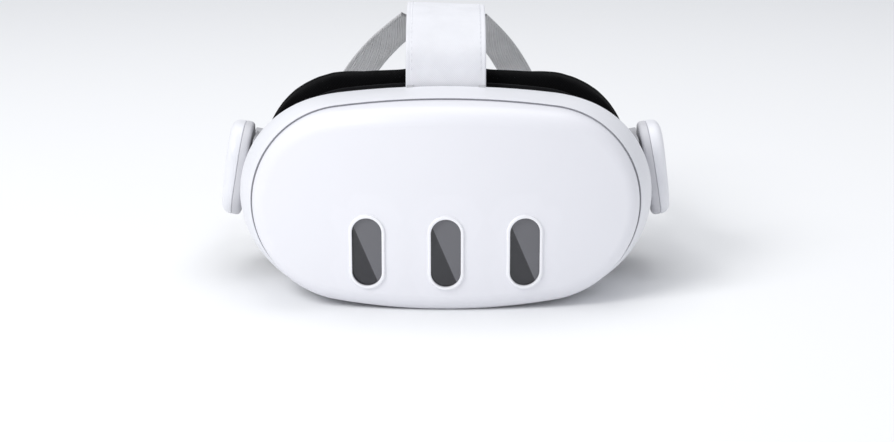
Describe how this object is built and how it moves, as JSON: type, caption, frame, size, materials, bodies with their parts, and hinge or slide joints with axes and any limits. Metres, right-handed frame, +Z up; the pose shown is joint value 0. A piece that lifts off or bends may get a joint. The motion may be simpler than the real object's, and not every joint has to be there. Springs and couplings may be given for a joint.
{
  "type": "virtual reality headset",
  "caption": "White standalone VR headset: domed visor with upright sensor windows, sliding face interface, adjustable lenses and a tilting soft headband.",
  "frame": {"origin": "middle of the flat underside of the main shell, on which the visor stands", "axes": "+Z up, -Y out through the front cover, +Y towards the wearer's head, +X to the wearer's left"},
  "size_m": [0.2076, 0.2411, 0.1219],
  "materials": {
    "cover_white": "satin",
    "shell_white": "satin",
    "arm_white": "satin",
    "seam_grey": "matte",
    "rim_white": "gloss",
    "sensor_glass": "gloss",
    "lens_glass": "gloss",
    "display_glass": "gloss",
    "black_plastic": "matte",
    "inner_black": "matte",
    "grey_plastic": "satin",
    "cast_frame": "satin",
    "heat_sink_metal": "satin",
    "steel": "satin",
    "circuit": "satin",
    "cell_foil": "satin",
    "light_lens": "gloss",
    "gold_contacts": "polished",
    "foam_black": "matte",
    "strap_white": "matte",
    "strap_grey": "matte"
  },
  "bodies": {
    "visor": {"front_cover": "cover_white", "main_shell": "shell_white", "seam_gasket": "seam_grey", "left_window_rim": "rim_white", "centre_window_rim": "rim_white", "right_window_rim": "rim_white", "left_sensor_window": "sensor_glass", "centre_sensor_window": "sensor_glass", "right_sensor_window": "sensor_glass", "left_camera_pair": "black_plastic", "right_camera_pair": "black_plastic", "depth_projector": "black_plastic", "mid_frame": "cast_frame", "ipd_guide_rods": "steel", "mainboard": "circuit", "fan_housing": "black_plastic", "battery_cells": "cell_foil", "heat_sink": "heat_sink_metal", "inner_face_plate": "inner_black", "proximity_sensor": "sensor_glass", "usb_port": "steel", "audio_jack": "black_plastic", "status_light": "light_lens", "charge_contacts": "gold_contacts", "strap_anchor": "grey_plastic", "top_strap_front": "strap_white", "left_arm_hub": "grey_plastic", "right_arm_hub": "grey_plastic"},
    "fan": {"fan_impeller": "black_plastic"},
    "left_lens": {"left_lens_barrel": "inner_black", "left_eye_lens": "lens_glass", "left_display": "display_glass", "left_rack": "black_plastic"},
    "right_lens": {"right_lens_barrel": "inner_black", "right_eye_lens": "lens_glass", "right_display": "display_glass", "right_rack": "black_plastic"},
    "eye_wheel": {"ipd_wheel": "grey_plastic", "ipd_pinion": "black_plastic"},
    "power": {"power_button": "shell_white"},
    "volume": {"volume_rocker": "shell_white"},
    "face_interface": {"facial_frame": "inner_black", "facial_cushion": "foam_black"},
    "left_button": {"left_depth_button": "grey_plastic"},
    "right_button": {"right_depth_button": "grey_plastic"},
    "headband": {"arm_pivot_pins": "steel", "left_arm_housing": "arm_white", "left_arm_cover": "arm_white", "left_speaker": "black_plastic", "right_arm_housing": "arm_white", "right_arm_cover": "arm_white", "right_speaker": "black_plastic", "rear_band": "strap_white", "rear_y_strap": "strap_grey", "top_strap_rear": "strap_white"},
    "left_adjuster": {"left_slider": "grey_plastic"},
    "right_adjuster": {"right_slider": "grey_plastic"}
  },
  "joints": [
    {"name": "headband_tilt", "type": "hinge", "parent": "visor", "child": "headband", "pos_m": [0, 0.0316, 0.0532], "axis": [1, 0, 0], "range_deg": [0, 15]},
    {"name": "face_depth", "type": "slide", "parent": "visor", "child": "face_interface", "axis": [0, 1, 0], "range_m": [0, 0.012]},
    {"name": "left_lens_slide", "type": "slide", "parent": "visor", "child": "left_lens", "axis": [1, 0, 0], "range_m": [-0.0055, 0.0055]},
    {"name": "right_lens_slide", "type": "slide", "parent": "visor", "child": "right_lens", "axis": [-1, 0, 0], "range_m": [-0.0055, 0.0055]},
    {"name": "eye_wheel_turn", "type": "hinge", "parent": "visor", "child": "eye_wheel", "pos_m": [0.038, 0.009, 0.0104], "axis": [0, 1, 0], "range_deg": [-88, 88]},
    {"name": "fan_spin", "type": "hinge", "parent": "visor", "child": "fan", "pos_m": [0, -0.025, 0.0652], "axis": [0, 1, 0], "continuous": true},
    {"name": "power_press", "type": "slide", "parent": "visor", "child": "power", "axis": [-0.7193, 0, 0.6947], "range_m": [0, 0.0008], "stiffness_N_per_m": 900, "springref_m": -0.0005},
    {"name": "volume_tip", "type": "hinge", "parent": "visor", "child": "volume", "pos_m": [-0.046, 0.009, 0.005], "axis": [0, 1, 0], "range_deg": [-3, 3], "stiffness_Nm_per_rad": 0.2},
    {"name": "left_depth_press", "type": "slide", "parent": "face_interface", "child": "left_button", "axis": [-1, 0, 0], "range_m": [0, 0.001], "stiffness_N_per_m": 700, "springref_m": -0.0005},
    {"name": "right_depth_press", "type": "slide", "parent": "face_interface", "child": "right_button", "axis": [1, 0, 0], "range_m": [0, 0.001], "stiffness_N_per_m": 700, "springref_m": -0.0005},
    {"name": "left_band_adjust", "type": "slide", "parent": "headband", "child": "left_adjuster", "axis": [0, 1, 0], "range_m": [0, 0.016]},
    {"name": "right_band_adjust", "type": "slide", "parent": "headband", "child": "right_adjuster", "axis": [0, 1, 0], "range_m": [0, 0.016]}
  ],
  "couplings": [
    {"joint": "right_lens_slide", "follows": "left_lens_slide", "ratio": 1},
    {"joint": "eye_wheel_turn", "follows": "left_lens_slide", "rad_per_m": 277.78}
  ]
}
